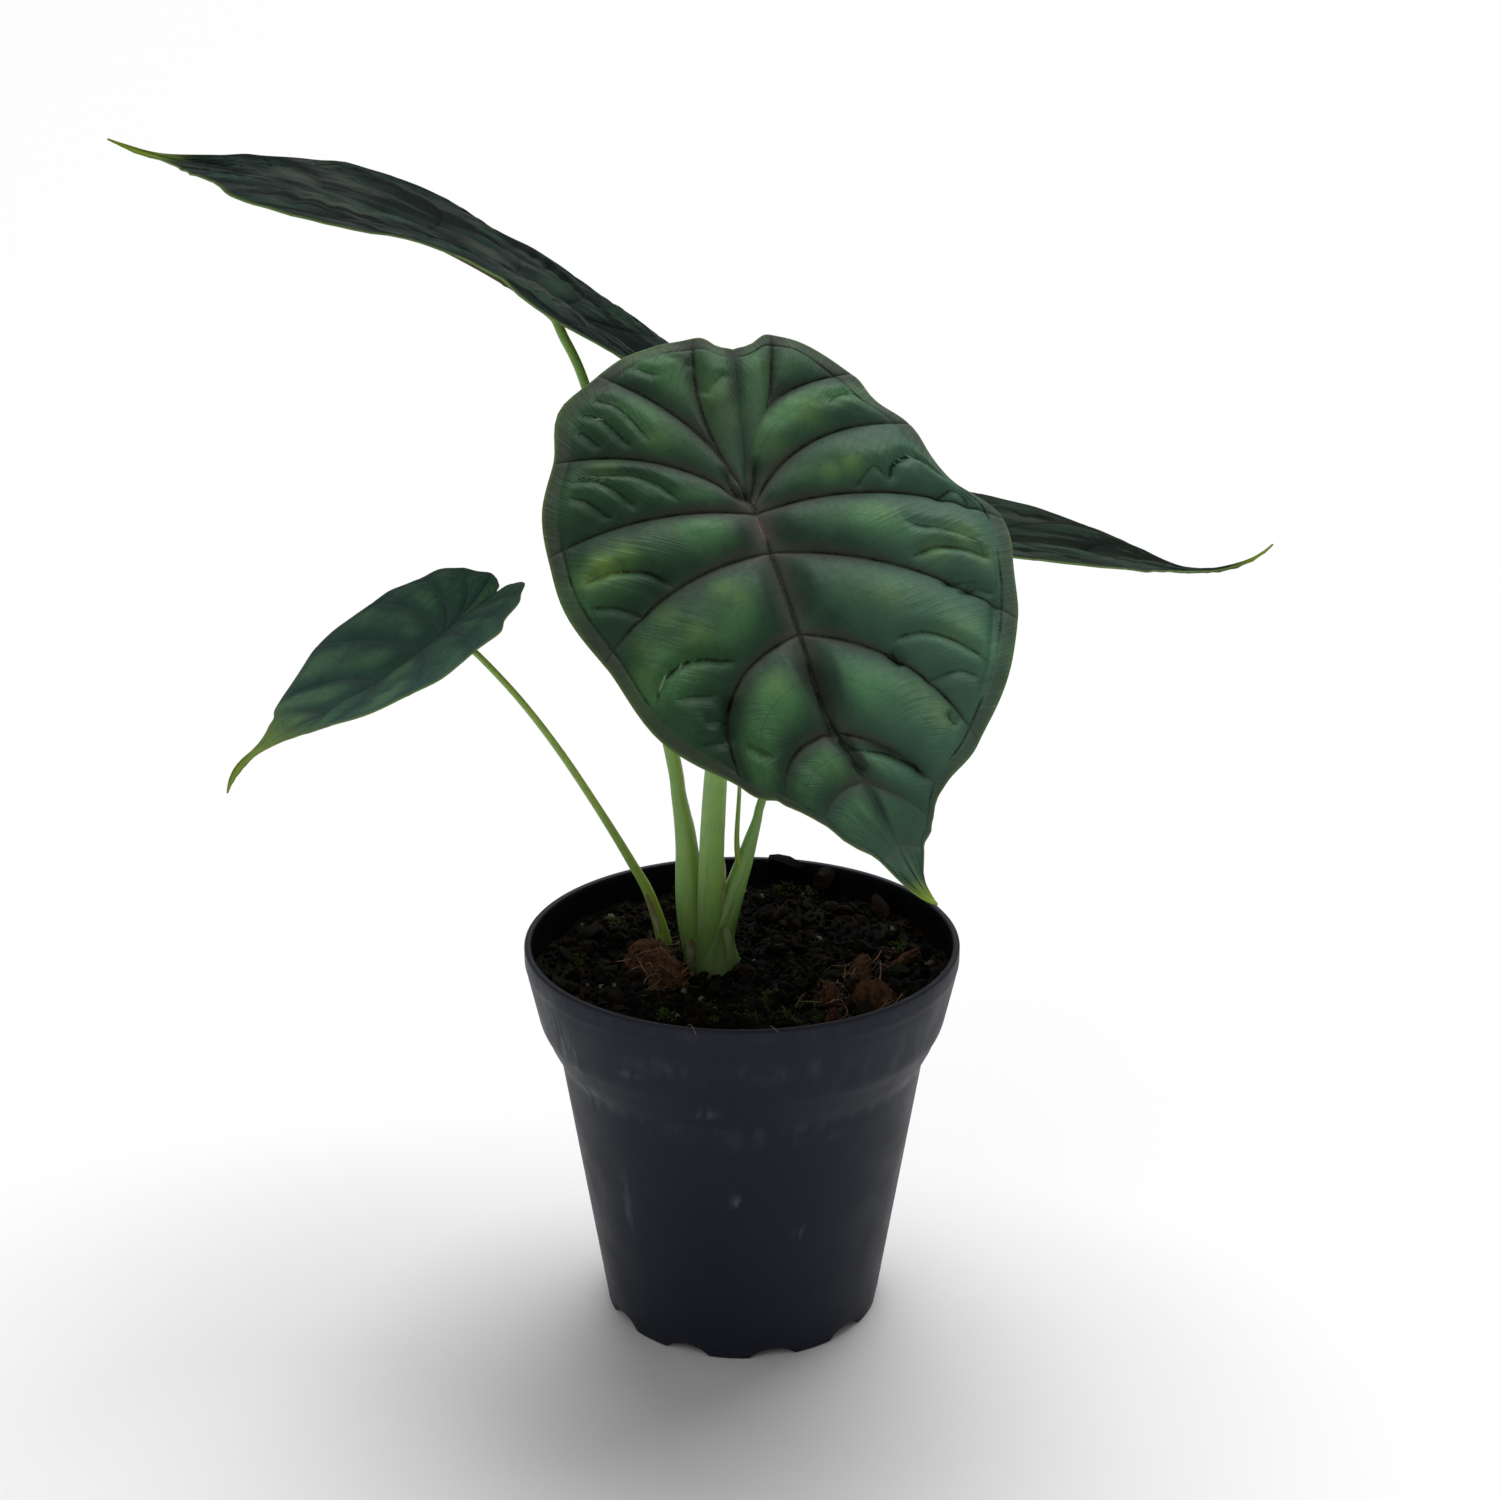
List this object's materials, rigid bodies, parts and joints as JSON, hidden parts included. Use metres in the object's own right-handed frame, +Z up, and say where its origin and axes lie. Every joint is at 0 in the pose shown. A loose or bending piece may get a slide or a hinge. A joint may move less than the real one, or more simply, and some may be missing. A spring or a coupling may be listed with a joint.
{
  "type": "potted dragon scale alocasia",
  "caption": "Young alocasia in a round nursery pot: quilted heart-shaped leaves with sunken dark veins on slim clasping stems, standing in potting mix",
  "frame": {"origin": "middle of the pot's foot, on the surface the pot stands on", "axes": "+Z up; -Y is the side from which the plant is seen best, with the largest leaf leaning that way; +X is to the right of that view"},
  "size_m": [0.3264, 0.2309, 0.316],
  "materials": {
    "pot_plastic": "thin moulded nursery plastic, charcoal with a slight blue, satin, dusty",
    "potting_mix": "damp dark peat and bark crumbs",
    "stem": "smooth pale green plant flesh with a soft sheen",
    "leaf": "quilted deep green leaf, satin, with darker sunken veins"
  },
  "bodies": {
    "root": {"pot": "pot_plastic", "potting_mix": "potting_mix", "crown": "stem", "stem_front": "stem", "stem_upper_left": "stem", "stem_right": "stem", "stem_lower_left": "stem", "blade_front": "leaf", "blade_upper_left": "leaf", "blade_right": "leaf", "blade_lower_left": "leaf"}
  },
  "joints": []
}
